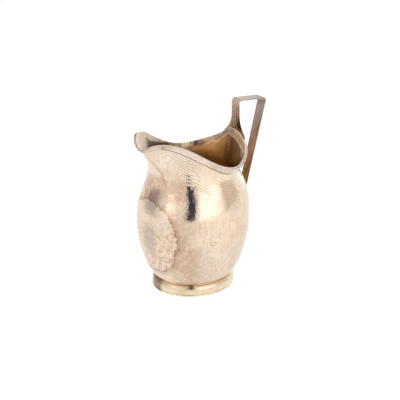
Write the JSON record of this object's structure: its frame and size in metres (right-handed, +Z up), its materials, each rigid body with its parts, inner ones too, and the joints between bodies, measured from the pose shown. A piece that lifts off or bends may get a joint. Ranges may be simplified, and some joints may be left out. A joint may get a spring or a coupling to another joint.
{
  "type": "cream jug",
  "caption": "Small oval pouring jug for cream with a drawn-out lip, a short oval foot, a reeded rim and an angular strap handle rising above the rim.",
  "frame": {"origin": "on the surface the jug stands on, at the middle of its whole length from lip to handle and of its width; the body's own axis is 7.7 mm towards the lip from it", "axes": "+Z up, -X towards the pouring lip, +X towards the handle, Y across the jug"},
  "size_m": [0.105, 0.0702, 0.1204],
  "materials": {
    "body_silver": "polished silver, warm with light tarnish and wear",
    "bottom_silver": "planished silver, dulled by tarnish",
    "foot_silver": "polished silver with a yellow tarnish",
    "band_silver": "reeded silver wire, worn bright on the reeds",
    "handle_silver": "reeded silver strap, brown tarnish"
  },
  "bodies": {
    "root": {"body_shell": "body_silver", "bottom_plate": "bottom_silver", "foot_collet": "foot_silver", "foot_strip": "foot_silver", "handle_strap": "handle_silver", "rim_band": "band_silver"}
  },
  "joints": []
}
